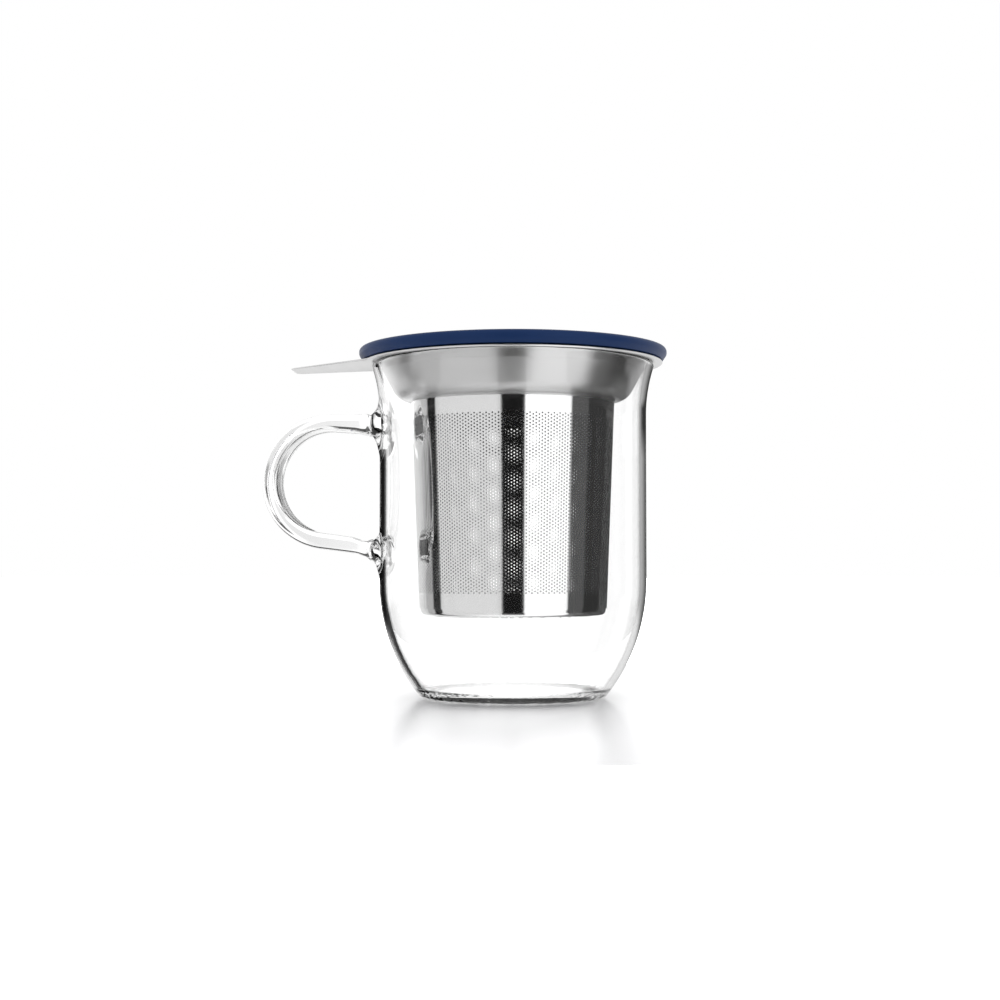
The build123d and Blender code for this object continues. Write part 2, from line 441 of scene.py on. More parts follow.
def bar_ring(outer, inner):
    """A ring of the bar between a point on its outside and one on its inside."""
    outer, inner = Vector(outer), Vector(inner)
    middle, out = (outer + inner) / 2, (outer - inner).normalized()
    section = bar_section(BAR_WIDTH / 2, (outer - inner).length / 2, BAR_EDGE)
    return [(middle.x + out.x * b, a, middle.y + out.y * b) for a, b in section]


upper = weld_rings(UPPER_WELD)
lower = weld_rings(LOWER_WELD)
bar = []
for angle in np.linspace(90 - UPPER_FALL, 270 - LOWER_FALL, BEND_STEPS):
    turn = radians(angle)
    bar.append(bar_ring(
        (OUTSIDE_MIDDLE[0] + OUTSIDE_R * cos(turn), OUTSIDE_MIDDLE[1] + OUTSIDE_R * sin(turn)),
        (INSIDE_MIDDLE[0] + INSIDE_R * cos(turn), INSIDE_MIDDLE[1] + INSIDE_R * sin(turn)),
    ))
handle_rings = upper + bar + lower[::-1]
print("handle", len(handle_rings), "rings of", len(unit), "points")

# %% [markdown]
# Now the skin is sewn together. The wall's faces inside the two windows are left out, and a
# few rings of points that still lie on the wall lead from each window to the foot of its weld.

# %% Glass mesh
UPPER_ROW, LOWER_ROW = 78, 42  # heights of the windows' middles
ON_WALL = [0.25, 0.5, 0.75]


def glass_mug():
    turns = np.linspace(0, 2 * pi, AROUND, endpoint=False)
    ripple = 0.5 + sum(np.sin(count * turns + start) for count, start in RING_WAVES) / 6
    points = []
    for row, (r, z) in enumerate(body_outline):
        uneven = RING_WAVE * max(0, 1 - z / RECESS) if row < len(foot) else 0
        points += [(r * cos(t), r * sin(t), z + uneven * up) for t, up in zip(turns, ripple)]
    rows = [list(range(i * AROUND, (i + 1) * AROUND)) for i in range(len(body_outline))]
    first_row = len(foot) - WALL_ROWS[0]
    back = AROUND // 2

    def in_window(row, column):
        height = row - first_row
        beside = abs(column + 0.5 - back) < WINDOW
        return beside and any(abs(height + 0.5 - middle) < WINDOW for middle in (UPPER_ROW, LOWER_ROW))

    faces = []
    for row, (low, high) in enumerate(zip(rows, rows[1:])):
        cells = quads_between(low, high)
        faces += [cell for column, cell in enumerate(cells) if not in_window(row, column)]

    def window_ring(middle, sign):
        return [rows[first_row + middle + sign * b][back - a] for a, b in square]

    def add_ring(ring):
        points.extend(ring)
        return list(range(len(points) - len(ring), len(points)))

    def approach(window, weld_foot):
        """Rings on the wall between the window and the weld's foot."""
        start = [points[i] for i in window]
        rings = []
        for share in ON_WALL:
            flat = [((p[1] * (1 - share) + q[1] * share), (p[2] * (1 - share) + q[2] * share))
                    for p, q in zip(start, weld_foot)]
            rings.append([(wall_x(y, z), y, z) for y, z in flat])
        return rings

    upper_window = window_ring(UPPER_ROW, 1)
    lower_window = window_ring(LOWER_ROW, -1)
    chain = [upper_window]
    chain += [add_ring(ring) for ring in approach(upper_window, handle_rings[0])]
    chain += [add_ring(ring) for ring in handle_rings]
    chain += [add_ring(ring) for ring in approach(lower_window, handle_rings[-1])[::-1]]
    chain += [lower_window]
    faces += ring_quads(chain)
    used = sorted({i for face in faces for i in face})
    number = {old: new for new, old in enumerate(used)}
    return make("glass_mug", [points[i] for i in used],
                [tuple(number[i] for i in face) for face in faces])


mug = glass_mug()
dress(mug, glass, "clear_glass", "mug", "mug_body", "mug_handle")

# %% [markdown]
# ## Satin stainless steel
# The collar is pressed from 18/8 stainless sheet and turned against an abrasive band, so fine
# scratches run round it. A scratch spreads a reflection across itself and leaves it sharp
# along itself. The shader's anisotropy does that, with its tangent running round the axis and
# turned by a quarter, because unturned it spreads along the tangent. The real lines are finer
# than a tenth of a millimetre; they are drawn coarser, as a faint change in roughness.

# %% Satin steel
TURNING_LINES = 0.25 * MM
ROUND_THE_RING = 4.0  # per metre: along a scratch the pattern hardly changes
SATIN = (0.36, 0.43)  # roughness, from the smoothest line to the roughest
QUARTER = 0.25


def satin_steel():
    material, tree = new_material("turned_satin_stainless")
    place = add(tree, "ShaderNodeTexCoord")
    round_axis = add(tree, "ShaderNodeTangent", direction_type="RADIAL", axis="Z")
    stretch = add(tree, "ShaderNodeMapping",
                  {"Vector": place.outputs["Object"],
                   "Scale": (ROUND_THE_RING, ROUND_THE_RING, 1 / TURNING_LINES)})
    lines = add(tree, "ShaderNodeTexNoise",
                {"Vector": stretch.outputs[0], "Scale": 1.0, "Detail": 2.0})
    rough = add(tree, "ShaderNodeMapRange",
                {"Value": lines.outputs[0], "To Min": SATIN[0], "To Max": SATIN[1]})
    shader = add(tree, "ShaderNodeBsdfPrincipled",
                 {"Base Color": linear("#d3d3d3"), "Metallic": 1.0,
                  "Roughness": rough.outputs[0], "Anisotropic": 0.8,
                  "Anisotropic Rotation": QUARTER, "Tangent": round_axis.outputs[0]})
    show(tree, shader)
    return material


satin = satin_steel()

# %% [markdown]
# ## The infuser's collar
# One sheet of steel, 0.5 mm thick, makes the flange that rests on the glass, the neck, the
# bowl and the hem that the basket hangs from. Its section is drawn once, as a line along the
# lower face, and the upper face is the parallel of that line. The tab is part of the flange,
# so the plan of flange and tab is drawn too, and each spoke of the section is stretched to
# reach that plan.

# %% Collar
SHEET = 0.5
CUT_EDGE_STEPS = 5
FLANGE_R = 43.1
FLANGE_ANGLE = radians(5)
FLANGE_FALL = tan(FLANGE_ANGLE)
NECK_R = 37.95
NECK_END = 94.4
BOWL_END_R = 33.1
LEDGE_Z = 85.7
HEM = 2.6
TAB_TIP, TAB_TIP_WIDTH = -62.2, 11.6
TAB_ROOT, TAB_ROOT_WIDTH = -36.0, 31.0
TAB_CORNER = 1.4
TAB_BLEND = 2.2  # length of the curve between the flange's circle and the tab's side
WALL_SHEET = 0.35
WALL_TOP_R, WALL_END_R = 29.45, 27.15
WALL_END_Z = 25.9
FLANGE_GAP = 0.05


def basket_radius(z):
    """Outside radius of the basket's slightly conical wall."""
    return WALL_END_R + (z - WALL_END_Z) * (WALL_TOP_R - WALL_END_R) / (LEDGE_Z - WALL_END_Z)


def flange_z(r):
    """Height of the flange's underside."""
    return rim_z + FLANGE_GAP + (lip_at - r) * FLANGE_FALL


def circle_meets_line(a, b, radius):
    """Where the line from b to a leaves the circle: a share of the way from b to a."""
    (ax, ay), (bx, by) = a, b
    dx, dy = ax - bx, ay - by
    p, q, s = dx * dx + dy * dy, bx * dx + by * dy, bx * bx + by * by - radius ** 2
    share = (-q + sqrt(q * q - p * s)) / p
    return (bx + dx * share, by + dy * share)


def collar_plan():
    """The plan of flange and tab, from the far side of the circle round to the tab and back."""
    tip, root = (TAB_TIP, TAB_TIP_WIDTH / 2), (TAB_ROOT, TAB_ROOT_WIDTH / 2)
    meet = circle_meets_line(tip, root, FLANGE_R)
    start = atan2(meet[1], meet[0])
    turns = np.linspace(0, start - TAB_BLEND / FLANGE_R, 120)
    circle = [(FLANGE_R * cos(t), FLANGE_R * sin(t)) for t in turns]
    toward = Vector(tip) - Vector(meet)
    on_side = Vector(meet) + toward.normalized() * TAB_BLEND
    first, middle, last = Vector(circle[-1]), Vector(meet), on_side
    fillet = []
    for share in np.linspace(0, 1, 9)[1:]:
        fillet.append(tuple(first * (1 - share) ** 2 + middle * 2 * share * (1 - share)
                            + last * share ** 2))
    side = [tuple(on_side + (Vector(tip) - on_side) * s) for s in np.linspace(0, 0.9, 14)[1:]]
    end = rounded([(*on_side, 0), (*tip, TAB_CORNER), (TAB_TIP, 0, 0)])[1:]
    half = circle + fillet + side + end
    return half + [(x, -y) for x, y in half[-2:0:-1]]


def sheet_section(path, thickness):
    """A closed outline round a sheet whose one face is the path, with rounded cut edges."""
    other = offset(path, thickness)
    turns = np.linspace(0, pi, CUT_EDGE_STEPS + 1)[1:-1]

    def edge(a, b):
        middle, spoke = (Vector(a) + Vector(b)) / 2, (Vector(a) - Vector(b)) / 2
        out = Vector((-spoke.y, spoke.x))
        return [tuple(middle + spoke * cos(t) - out * sin(t)) for t in turns]

    return path + edge(path[-1], other[-1]) + other[::-1] + edge(other[0], path[0])


def collar():
    hem_top = basket_radius(LEDGE_Z) - WALL_SHEET
    hem_end = basket_radius(LEDGE_Z - HEM) - WALL_SHEET
    path = rounded([
        (FLANGE_R, flange_z(FLANGE_R), 0), (NECK_R, flange_z(NECK_R), 1.0),
        (NECK_R, NECK_END, 1.4), (BOWL_END_R, LEDGE_Z, 5.0), (hem_top, LEDGE_Z, 0.8),
        (hem_end, LEDGE_Z - HEM, 0),
    ])
    section = sheet_section(path, SHEET)
    bend = NECK_R + SHEET + 1.5  # the flat of the flange starts here
    points = []
    plan = collar_plan()
    for r, z in section:
        for x, y in plan:
            reach = hypot(x, y)
            longer = 0 if r < bend else (r - bend) * (reach - FLANGE_R) / (FLANGE_R - bend)
            spoke = r + longer
            points.append((x / reach * spoke, y / reach * spoke, z - longer * FLANGE_FALL))
    rings = [list(range(i * len(plan), (i + 1) * len(plan))) for i in range(len(section))]
    return make("infuser_collar_sheet", points, ring_quads(rings, closed=True))


collar_piece = collar()
dress(collar_piece, satin, "satin_steel", "infuser", "infuser_collar")

# %% [markdown]
# ## Polished stainless steel
# The basket is bright sheet, so it mirrors the room in narrow upright bands. What gives it
# its look is the thousands of holes, and those are cut in the mesh, not painted.

# %% Polished steel
def polished_steel():
    material, tree = new_material("bright_rolled_stainless")
    shader = add(tree, "ShaderNodeBsdfPrincipled",
                 {"Base Color": linear("#dcdcdc"), "Metallic": 1.0, "Roughness": 0.06})
    show(tree, shader)
    return material


bright = polished_steel()

# %% [markdown]
# ## The perforated basket
# The holes are etched in a honeycomb pattern, 0.96 mm apart. So the sheet is a net of small
# hexagons that share their corners, and each hexagon has a hole in its middle. On paper
# the net is flat, with u across and v up, and is then rolled into the basket's cone. The
# Solidify modifier gives the sheet its thickness, and the walls of all the holes with it.
# The net is counted in thirds of a column and half rows, which are whole numbers, so
# neighbours find their shared corners exactly. At this size a hole with six sides looks round.

# %% The honeycomb net
PITCH = 0.96
HOLE = 0.48  # diameter of the round hole
HOLE_ACROSS = HOLE * 1.1  # corner to corner of the hexagon with the same area
COLUMN = PITCH * sqrt(3) / 2
HEXAGON = [(2, 0), (1, 1), (-1, 1), (-2, 0), (-1, -1), (1, -1)]
HOLE_SHARP = radians(65)  # over the 60 degrees between a hole's sides, so they look round


class Net:
    """A flat net of points and faces. A key names a point, so that faces can share it."""

    def __init__(self):
        self.points, self.faces, self.number = [], [], {}

    def point(self, key, place):
        if key not in self.number:
            self.number[key] = len(self.points)
            self.points.append(place)
        return self.number[key]

    def cell(self, column, row, hole, wrap=None):
        """One hexagon, open in the middle if it has a hole."""
        u, v = 3 * column, 2 * row + column % 2
        corners = []
        for du, dv in HEXAGON:
            key = ((u + du) % wrap if wrap else u + du, v + dv)
            corners.append(self.point(key, ((u + du) * COLUMN / 3, (v + dv) * PITCH / 2)))
        if not hole:
            self.faces.append(tuple(corners))
            return
        middle = (u * COLUMN / 3, v * PITCH / 2)
        rim = []
        for i in range(6):
            turn = radians(60 * i)
            place = (middle[0] + hole / 2 * cos(turn), middle[1] + hole / 2 * sin(turn))
            rim.append(self.point(("hole", column, row, i), place))
        self.faces += quads_between(corners, rim)


def sheet_metal(name, points, faces, thickness):
    """A sheet of metal as a closed mesh: a net given its thickness inwards."""
    flat = make(name + "_net", points, faces)
    solid = flat.modifiers.new("thickness", "SOLIDIFY")
    solid.thickness = thickness * MM
    solid.offset = -1
    solid.use_even_offset = True
    graph = bpy.context.evaluated_depsgraph_get()
    mesh = bpy.data.meshes.new_from_object(flat.evaluated_get(graph))
    bpy.data.objects.remove(flat)
    mesh.name = name
    return shaded(name, mesh, HOLE_SHARP)


# %% [markdown]
# ## The basket's wall
# The sheet meets itself in an upright weld seam, a plain strip two columns wide with a low
# weld bead. Above and below the holes the sheet is plain.

# %% Wall
COLUMNS = 214
ROWS = 52
HOLES_FROM = 30.55
SEAM_AT = radians(-37.75)
BEAD = 0.05  # height of the weld bead
BEAD_HALF = 0.35
wall_top = LEDGE_Z - 0.8
PLAIN_ABOVE = (81.6, 83.2, wall_top)  # rows of points over the holes
PLAIN_BELOW = (29.4, 27.6, WALL_END_Z)


def wall_place(u, v):
    """Where a point of the net lies on the rolled wall."""
    turn = SEAM_AT + (u / COLUMN + 0.5) / COLUMNS * 2 * pi
    aside = (u / COLUMN + 0.5 + COLUMNS / 2) % COLUMNS - COLUMNS / 2
    r = basket_radius(v) + BEAD * np.exp(-((aside * COLUMN / BEAD_HALF) ** 2))
    return (r * cos(turn), r * sin(turn), v)


def basket_wall():
    net = Net()
    wrap = 3 * COLUMNS
    for column in range(COLUMNS):
        for row in range(ROWS):
            net.cell(column, row, HOLE_ACROSS if 0 < column < COLUMNS - 1 else 0, wrap)
    points = [(u, v + HOLES_FROM) for u, v in net.points]
    for edge_row, level, plain in ((ROWS - 1, 1, PLAIN_ABOVE), (0, -1, PLAIN_BELOW)):
        border, across = [], []
        for column in range(COLUMNS):
            v = 2 * edge_row + column % 2 + level
            for du in (-1, 1):
                border.append(net.number[((3 * column + du) % wrap, v)])
                across.append((3 * column + du) * COLUMN / 3)
        for height in plain:
            start = len(points)
            points += [(u, height) for u in across]
            ring = list(range(start, start + len(across)))
            net.faces += quads_between(border, ring)
            border = ring
    return sheet_metal("infuser_wall_sheet", [wall_place(u, v) for u, v in points], net.faces,
                       WALL_SHEET)


wall_piece = basket_wall()
dress(wall_piece, bright, "polished_steel", "infuser", "infuser_wall")

# %% [markdown]
# ## The basket's base
# The base is a shallow pan pressed into the end of the wall. Its flat has the same holes, and
# its edge is bent up. The honeycomb ends in a ragged border, so the plain ring between that
# border and the round bend is filled with triangles, which lie flat and don't show.

# %% Base
BASE_SHEET = 0.4
BASE_Z = 24.0
BASE_BEND = 1.3
BASE_RIM_Z = 29.0
BASE_FLAT = 0.5  # of the plain flat, this much is in the turned ring
BASE_HOLES_R = 22.6
BASE_AROUND = 180


def basket_base():
    net = Net()
    reach = int(BASE_HOLES_R / COLUMN) + 1
    for column in range(-reach, reach + 1):
        for row in range(-reach, reach + 1):
            u, v = column * COLUMN, (row + column % 2 / 2) * PITCH
            if hypot(u, v) < BASE_HOLES_R:
                net.cell(column, row, HOLE_ACROSS)
    flat_end = basket_radius(BASE_Z) - WALL_SHEET - BASE_BEND
    path = rounded([
        (flat_end - BASE_FLAT, BASE_Z, 0),
        (basket_radius(BASE_Z) - WALL_SHEET, BASE_Z, BASE_BEND),
        (basket_radius(BASE_RIM_Z) - WALL_SHEET, BASE_RIM_Z, 0),
    ])
    points = [(x, y, BASE_Z) for x, y in net.points]
    turns = np.linspace(0, 2 * pi, BASE_AROUND, endpoint=False)
    rings = []
    for r, z in path:
        rings.append(list(range(len(points), len(points) + BASE_AROUND)))
        points += [(r * cos(t), r * sin(t), z) for t in turns]
    faces = net.faces + ring_quads(rings)
    work = bmesh.new()
    verts = [work.verts.new(p) for p in points]
    for face in faces:
        work.faces.new([verts[i] for i in face])
    border = BASE_HOLES_R - PITCH * 0.4
    hole_side = HOLE_ACROSS / 2
    gap = [e for e in work.edges if e.is_boundary and e.verts[0].co.z < BASE_Z + MERGE
           and min(hypot(v.co.x, v.co.y) for v in e.verts) > border
           and e.calc_length() > hole_side + MERGE]
    bmesh.ops.triangle_fill(work, use_beauty=True, edges=gap)
    points = [tuple(v.co) for v in work.verts]
    work.verts.index_update()
    faces = [tuple(v.index for v in f.verts) for f in work.faces]
    work.free()
    return sheet_metal("infuser_base_pan", points, faces, BASE_SHEET)


base_piece = basket_base()
dress(base_piece, bright, "polished_steel", "infuser", "infuser_base")

# %% [markdown]
# ## Silicone
# The lid is moulded in silicone, dyed navy. Silicone has no hard shine: its surface copies
# the mould's fine blasted texture, so light spreads softly. The grain is 0.3 mm wide and a
# hundredth of a millimetre high. The dye is hardly uneven, in clouds of about 17 mm.

# %% Silicone
MOULD_GRAIN = 0.3 * MM
MOULD_GRAIN_HEIGHT = 0.01 * MM
DYE_CLOUDS = 60.0  # per metre


def navy_silicone():
    material, tree = new_material("moulded_navy_silicone")
    place = add(tree, "ShaderNodeTexCoord")
    grain = add(tree, "ShaderNodeTexNoise",
                {"Vector": place.outputs["Object"], "Scale": 1 / MOULD_GRAIN, "Detail": 2.0})
    cloud = add(tree, "ShaderNodeTexNoise",
                {"Vector": place.outputs["Object"], "Scale": DYE_CLOUDS, "Detail": 2.0})
    bump = add(tree, "ShaderNodeBump",
               {"Height": grain.outputs[0], "Distance": MOULD_GRAIN_HEIGHT, "Strength": 0.6})
    colour = layered(tree, linear("#0d2852"), (cloud.outputs[0], linear("#102e5a")))
    shader = add(tree, "ShaderNodeBsdfPrincipled",
                 {"Base Color": colour, "Roughness": 0.42,
                  "Specular IOR Level": 0.15, "Normal": bump.outputs[0]})
    show(tree, shader)
    return material


silicone = navy_silicone()

# %% [markdown]
# ## The lid
# A thick disc with a soft raised rim, a dished top and a shallow ring underneath that keeps
# it in the collar's mouth. It is one outline turned about the axis, like the mug's body. It
# lies on the flange's inner part. Further out its underside stands off the flange a little,
# and the line of shadow in that gap parts blue from steel.

# %% Lid
LID_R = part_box("lid")[1].y / MM
LID_RISE = 0.3  # the soft rim stands this much over the solid's
LID_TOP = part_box("lid")[1].z / MM + LID_RISE
LID_REST = 0.1
LID_LIP_R = 43.5
LID_WIDEST_Z = 99.0
LID_GAP = 0.35  # between the lid and the flange's edge
LID_BEAD = 3.8
LID_ROUND = 1.2
LID_DISH = 1.0
LID_RING_R = 37.1
LID_RING_WALL = 1.4
LID_RING_DEPTH = 2.3


def seat_z(r):
    """Height of the lid's underside over the flange."""
    return flange_z(r) + SHEET / cos(FLANGE_ANGLE) + LID_REST


def lid():
    plate = seat_z(NECK_R)
    ring_z = plate - LID_RING_DEPTH
    bore = LID_RING_R - LID_RING_WALL
    outline = rounded([
        (0, plate, 0), (bore, plate, 0.5), (bore, ring_z, 0.4), (LID_RING_R, ring_z, 0.4),
        (LID_RING_R, plate, 0.3), (NECK_R, plate, 0.3),
        (LID_LIP_R, seat_z(LID_LIP_R) + LID_GAP, 0.3), (LID_R, LID_WIDEST_Z, LID_ROUND),
        (LID_R, LID_TOP, LID_ROUND), (LID_R - LID_BEAD, LID_TOP, LID_ROUND),
        (LID_R - LID_BEAD - LID_DISH, LID_TOP - LID_DISH, LID_ROUND), (0, LID_TOP - LID_DISH, 0),
    ], step=0.2)
    return turned("lid_silicone", outline)


lid_piece = lid()
dress(lid_piece, silicone, "blue_silicone", "lid", "lid")

# %% [markdown]
# ## Table
# The table is a small disc of white gloss board under the mug, which takes its shadow and a
# faint reflection. Past the disc a plane that only the camera sees carries the white on to
# the horizon. The board alone would render a light grey, so a weak glow lifts it to white.
# Diffuse rays don't see the glow, so no more light falls on the mug.
#
# Near the mug the glow is left out over a long ellipse. That is painted shade: the board there is
# darker because of where it is, on top of its real shadow, and it stands in for the soft shadow and
# reflection under the mug. From higher up that ellipse would show as a grey patch. So the Layer Weight
# node, which knows how squarely a surface is seen, lets the painted shade in only where the board is
# seen at a grazing angle.

# %% Table
TABLE_R = 170 * MM
TABLE_Z = -0.05 * MM
FAR = 6.0
FAR_Z = -0.5 * MM
# The painted shade near the mug: an ellipse over which the board has less glow.
PAINTED_SHADE_X, PAINTED_SHADE_Y = 38 * MM, 190 * MM  # half the ellipse's width and length
PAINTED_SHADE_INNER = 0.5  # the glow starts at this share of the way to the ellipse's edge
GRAZING_FROM, GRAZING = radians(12), radians(8)


def white_board(name, painted_shade_glow, glow_at_edge, glow_in_glass):
    """Board that glows by one amount near the mug, which paints shade there at grazing angles, another
    further out, a third in the glass.
    """
    material, tree = new_material(name)
    seen = add(tree, "ShaderNodeLightPath")
    place = add(tree, "ShaderNodeTexCoord")
    squeezed = add(tree, "ShaderNodeMapping",
                   {"Vector": place.outputs["Object"], "Scale": (1 / PAINTED_SHADE_X, 1 / PAINTED_SHADE_Y, 1.0)})
    reach = add(tree, "ShaderNodeVectorMath", {0: squeezed.outputs[0]}, operation="LENGTH")
    glow_with_painted_shade = add(tree, "ShaderNodeMapRange",
                {"Value": reach.outputs["Value"], "From Min": PAINTED_SHADE_INNER, "From Max": 1.0,
                 "To Min": painted_shade_glow, "To Max": glow_at_edge}, interpolation_type="SMOOTHSTEP")
    # Painted shade: the ellipse's lower glow counts only where the board is seen at a grazing angle.
    slant = add(tree, "ShaderNodeLayerWeight", {"Blend": 0.5})
    painted_shade_at_grazing = add(tree, "ShaderNodeMapRange",
                  {"Value": slant.outputs["Facing"], "From Min": 1 - sin(GRAZING_FROM),
                   "From Max": 1 - sin(GRAZING), "To Min": glow_at_edge,
                   "To Max": glow_with_painted_shade.outputs[0]})
    amount = add(tree, "ShaderNodeMapRange",
                 {"Value": seen.outputs["Is Transmission Ray"], "To Min": painted_shade_at_grazing.outputs[0],
                  "To Max": glow_in_glass})
    amount = add(tree, "ShaderNodeMapRange",
                 {"Value": seen.outputs["Is Diffuse Ray"], "To Min": amount.outputs[0],
                  "To Max": 0.0})
    light = add(tree, "ShaderNodeEmission", {"Strength": amount.outputs[0]})
    board = add(tree, "ShaderNodeBsdfPrincipled",
                {"Base Color": linear("#dcdcde"), "Roughness": 0.2, "Specular IOR Level": 0.5})
    both = add(tree, "ShaderNodeAddShader", {0: board.outputs[0], 1: light.outputs[0]})
    mirrored = add(tree, "ShaderNodeMath", {0: seen.outputs["Glossy Depth"], 1: 0.5},
                   operation="GREATER_THAN")
    gone = add(tree, "ShaderNodeBsdfTransparent")
    show(tree, add(tree, "ShaderNodeMixShader",
                   {0: mirrored.outputs[0], 1: both.outputs[0], 2: gone.outputs[0]}))
    return material


def disc(name, radius, z, material):
    """A level disc of the set, which isn't part of the mug."""
    work = bmesh.new()
    bmesh.ops.create_circle(work, cap_ends=True, segments=128, radius=radius)
    mesh = bpy.data.meshes.new(name)
    work.to_mesh(mesh)
    work.free()
    piece = bpy.data.objects.new(name, mesh)
    piece.location.z = z
    mesh.materials.append(material)
    bpy.context.scene.collection.objects.link(piece)
    return piece


# Near the mug the board gets no glow, which paints shade there when the board is seen at a grazing
# angle.
disc("table", TABLE_R, TABLE_Z, white_board("gloss_white_board_painted_shade", 0.0, 0.3, 1.0))
far_table = disc("far_table", FAR, FAR_Z, white_board("far_white_board", 2.0, 2.0, 2.0))
for ray in ("visible_diffuse", "visible_glossy", "visible_transmission", "visible_shadow"):
    setattr(far_table, ray, False)
print("table", round(2 * TABLE_R / MM), "mm across")

# %% [markdown]
# ## Light
# Clear glass and bright steel show nothing but their surroundings, so the surroundings are
# the light here. A studio would stand white and black cards round the table. Here the world's
# shader paints them, so that no card stands in the way of another view.
#
# The shader knows in which direction a ray leaves the scene. That gives the ray a bearing and
# an elevation. A colour ramp of soft-edged steps holds cards side by side, and a mask picks a
# belt of elevations.

# %% Directions
SOFT_EDGE = 2.0  # degrees over which one card changes to the next

world = bpy.data.worlds.new("studio")
world.use_nodes = True
bpy.context.scene.world = world
sky = world.node_tree
sky.nodes.clear()
place = add(sky, "ShaderNodeTexCoord")
parts = add(sky, "ShaderNodeSeparateXYZ", {0: place.outputs["Generated"]})
up = parts.outputs["Z"]
front = add(sky, "ShaderNodeMath", {0: parts.outputs["Y"], 1: -1.0}, operation="MULTIPLY").outputs[0]
turn = add(sky, "ShaderNodeMath", {0: parts.outputs["X"], 1: front}, operation="ARCTAN2").outputs[0]


def cards(turn, brightness):
    """Cards all round, each from its bearing on: degrees from the camera's side to its right."""
    bearing = add(sky, "ShaderNodeMapRange", {"Value": turn, "From Min": -pi, "From Max": pi})
    ramp = add(sky, "ShaderNodeValToRGB", {"Fac": bearing.outputs[0]})
    stops = ramp.color_ramp.elements
    stops[0].position, stops[0].color = 0, grey(brightness[0][1])
    stops[1].position, stops[1].color = 1, grey(brightness[-1][1])
    for (_, before), (edge, after) in zip(brightness, brightness[1:]):
        for side, level in ((-SOFT_EDGE / 2, before), (SOFT_EDGE / 2, after)):
            stops.new((edge + side + 180) / 360).color = grey(level)
    return ramp.outputs[0]


def over(start, full):
    """A mask that grows from 0 to 1 between two elevations in degrees."""
    return add(sky, "ShaderNodeMapRange",
               {"Value": up, "From Min": sin(radians(start)),
                "From Max": sin(radians(full))}).outputs[0]


def belt(start, full, fading, end):
    """A mask for a belt of elevations."""
    return add(sky, "ShaderNodeMath", {0: over(start, full), 1: over(fading, end)},
               operation="SUBTRACT").outputs[0]


print("studio of", len(sky.nodes), "nodes so far")

# %% [markdown]
# The same surroundings can't serve all. Through the glass one sees a bright backdrop, its
# outlines need narrow dark cards, and the polished basket needs broad ones. The Light Path
# node tells these apart: it says how often a ray was mirrored, how many surfaces of glass it
# went through and whether it scattered.

# %% Rays
seen = add(sky, "ShaderNodeLightPath")
mirrored = add(sky, "ShaderNodeMath", {0: seen.outputs["Glossy Depth"], 1: 0.5},
               operation="GREATER_THAN").outputs[0]
few_walls = add(sky, "ShaderNodeMath", {0: seen.outputs["Transmission Depth"], 1: 2.5},
                operation="LESS_THAN").outputs[0]
scattered = add(sky, "ShaderNodeMath", {0: seen.outputs["Diffuse Depth"], 1: 0.5},
                operation="GREATER_THAN").outputs[0]
in_front = add(sky, "ShaderNodeMath", {0: front, 1: 0.0}, operation="GREATER_THAN").outputs[0]
behind = add(sky, "ShaderNodeMath", {0: front, 1: -0.8}, operation="LESS_THAN").outputs[0]

# %% [markdown]
# The steel needs broad bands. The collar's bowl faces down, so it mirrors the room lower down
# than the basket does. There the cards stand further apart, which moves its bands outwards.

# %% Cards for the steel
STEEL = [
    (-180, 1.4), (-160, 1.1), (-135, 0.9), (-127, 0.6), (-109, 0.01), (-94, 0.98), (-11, 0.01),
    (15, 1.6), (70, 0.13), (95, 0.04), (175, 1.4),
]
CARD_SPREAD = 0.74
SPREAD_FROM, SPREAD_TO = -0.25, -0.777  # the direction's Z where this starts and is full
spread = add(sky, "ShaderNodeMapRange",
             {"Value": up, "From Min": SPREAD_FROM, "From Max": SPREAD_TO,
              "To Min": 1.0, "To Max": CARD_SPREAD})
steel_turn = add(sky, "ShaderNodeMath", {0: turn, 1: spread.outputs[0]}, operation="MULTIPLY")
steel = cards(steel_turn.outputs[0], STEEL)

# %% [markdown]
# A ray that is mirrored in the glass, at its surface or within the wall, draws an outline.
# The straight wall sends such rays out level, the belly sends them down, and the welds send
# them up a little. So three sets of cards lie over each other in belts.

# %% Cards for the glass's outlines
LEVEL = [
    (-180, 0.95), (-168, 0.01), (-143, 0.3), (-139, 1.3), (-78, 0.03), (-65, 0.9), (-11, 0.03),
    (13, 1.6), (52, 0.14), (118, 1.0), (141, 0.45), (153, 0.35), (157, 0.25), (161, 0.13),
    (165, 0.06), (173, 0.5),
]
LOWER = [
    (-180, 0.9), (-158, 0.05), (-138, 0.8), (-125, 0.9), (-88, 0.03), (-62, 0.9), (-11, 0.03),
    (13, 0.9), (48, 0.05), (110, 0.8),
]
UPPER = [(-180, 0.04), (-170, 0.7)] + LEVEL[3:11] + [(150, 0.04)]
outlines = layered(sky, cards(turn, LEVEL),
                   (over(-5, -8), cards(turn, LOWER)),
                   (belt(3.7, 4.7, 10, 12), cards(turn, UPPER)))

# %% [markdown]
# A ray that only goes through the glass sees the backdrop. Two things stand before it. One is
# the dark above the backdrop's upper edge, which the lip and the handle's edges bend into
# view. The other is a pale grey card low behind the handle, which gives its flat face a tone.

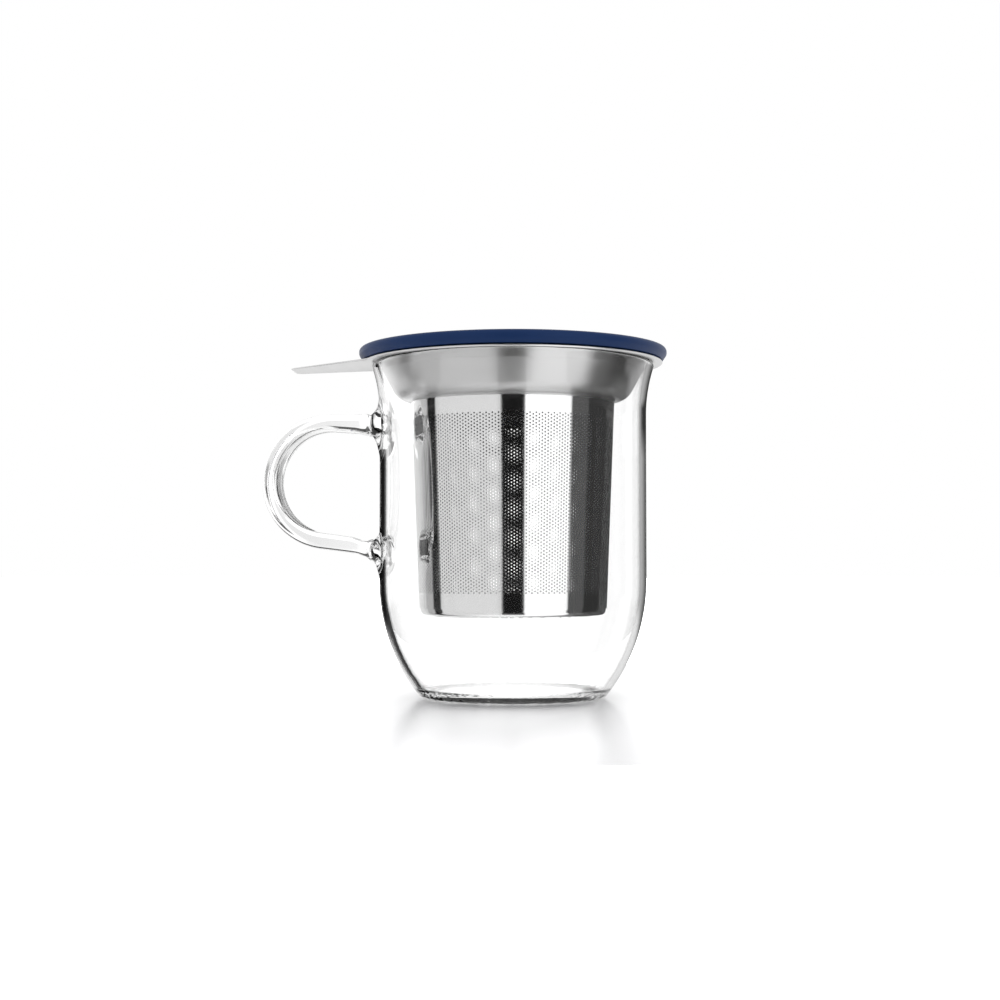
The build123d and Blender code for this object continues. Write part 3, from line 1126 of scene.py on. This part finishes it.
# %% Behind the glass
BACKDROP = [
    (-180, 1.25), (-156, 0.55), (-146, 1.25), (151, 0.5), (163, 0.66), (165.5, 0.85), (169, 1.2),
]
ABOVE_BACKDROP = 0.08
BEHIND_HANDLE = [(-180, 0.0), (-173.5, 1.0), (-168, 0.0)]
HANDLE_CARD = 0.89
above = add(sky, "ShaderNodeMath", {0: belt(9, 11, 36, 40), 1: behind}, operation="MULTIPLY")
at_handle = add(sky, "ShaderNodeMath", {0: over(-0.6, -0.1), 1: cards(turn, BEHIND_HANDLE)},
                operation="MULTIPLY")
at_handle = add(sky, "ShaderNodeMath", {0: at_handle.outputs[0], 1: few_walls},
                operation="MULTIPLY")
backdrop = layered(sky, cards(turn, BACKDROP),
                   (at_handle.outputs[0], grey(HANDLE_CARD)),
                   (above.outputs[0], grey(ABOVE_BACKDROP)))

# %% [markdown]
# Now each kind of ray gets its own. Steel outside the glass sees its cards in front and white
# behind. Mirrors see white high up and a bright floor straight down. Light for the table and
# the lid is white, and so is what the camera sees behind everything.

# %% All the light together
FLOOR_LIGHT = 1.5
WHITE = grey(1.0)
open_steel = layered(sky, WHITE, (in_front, steel))
outside = layered(sky, open_steel, (seen.outputs["Is Singular Ray"], outlines))
mirrors = layered(sky, steel, (few_walls, outside), (over(28, 45), WHITE),
                  (over(-48, -80), grey(FLOOR_LIGHT)))
colour = layered(sky, backdrop, (mirrored, mirrors), (scattered, WHITE),
                 (seen.outputs["Is Camera Ray"], WHITE))
light = add(sky, "ShaderNodeBackground", {"Color": colour, "Strength": 1.0})
add(sky, "ShaderNodeOutputWorld", {"Surface": light.outputs[0]})
print("studio of", len(sky.nodes), "nodes")

# %% [markdown]
# ## Panel
# The world is endlessly far away, so it looks the same from the mug's mouth and from its
# waist. One light has to differ there: above the handle the outline is pale, and below it is
# dark. So one real lamp, a flat panel, stands 0.3 m behind the handle, just above its height.
# A level ray from the mouth meets it, and one from the waist passes under it. The camera
# doesn't see it.

# %% Panel
PANEL = (118 * MM, 34 * MM)
PANEL_PLACE = Vector((-192, 257, 110)) * MM
PANEL_TARGET = Vector((-38, 0, 100)) * MM
PANEL_BRIGHTNESS = 0.68  # against the world's white; a lamp's power is 4 times this by its area
lamp = bpy.data.lights.new("panel", "AREA")
lamp.shape = "RECTANGLE"
lamp.size, lamp.size_y = PANEL
lamp.energy = 4 * PANEL_BRIGHTNESS * PANEL[0] * PANEL[1]
panel = bpy.data.objects.new("panel", lamp)
panel.location = PANEL_PLACE
panel.rotation_euler = (PANEL_PLACE - PANEL_TARGET).to_track_quat("Z", "Y").to_euler()
panel.visible_camera = False
bpy.context.scene.collection.objects.link(panel)
print("panel", round(PANEL[0] / MM), "by", round(PANEL[1] / MM), "mm")

# %% [markdown]
# ## Camera
# The lens is a short telephoto, half a metre away, a little above the mug's waist and tilted
# up slightly. It stands a couple of degrees towards the side without the handle.

# %% Camera
LENS = 61.2
SENSOR = 36.0
DISTANCE = 493 * MM
EYE_Z = 37.4 * MM
ASIDE = 3.73 * MM
AZIMUTH = radians(2.25)
TILT_UP = radians(2.29)
camera_data = bpy.data.cameras.new("camera")
camera_data.lens = LENS
camera_data.sensor_width = SENSOR
camera = bpy.data.objects.new("camera", camera_data)
bpy.context.scene.collection.objects.link(camera)
right = Vector((cos(AZIMUTH), sin(AZIMUTH), 0))
back = Vector((sin(AZIMUTH), -cos(AZIMUTH), 0))
camera.location = back * DISTANCE - right * ASIDE + Vector((0, 0, EYE_Z))
camera.rotation_euler = (pi / 2 + TILT_UP, 0, AZIMUTH)
bpy.context.scene.camera = camera
bpy.context.scene.view_settings.view_transform = "Standard"
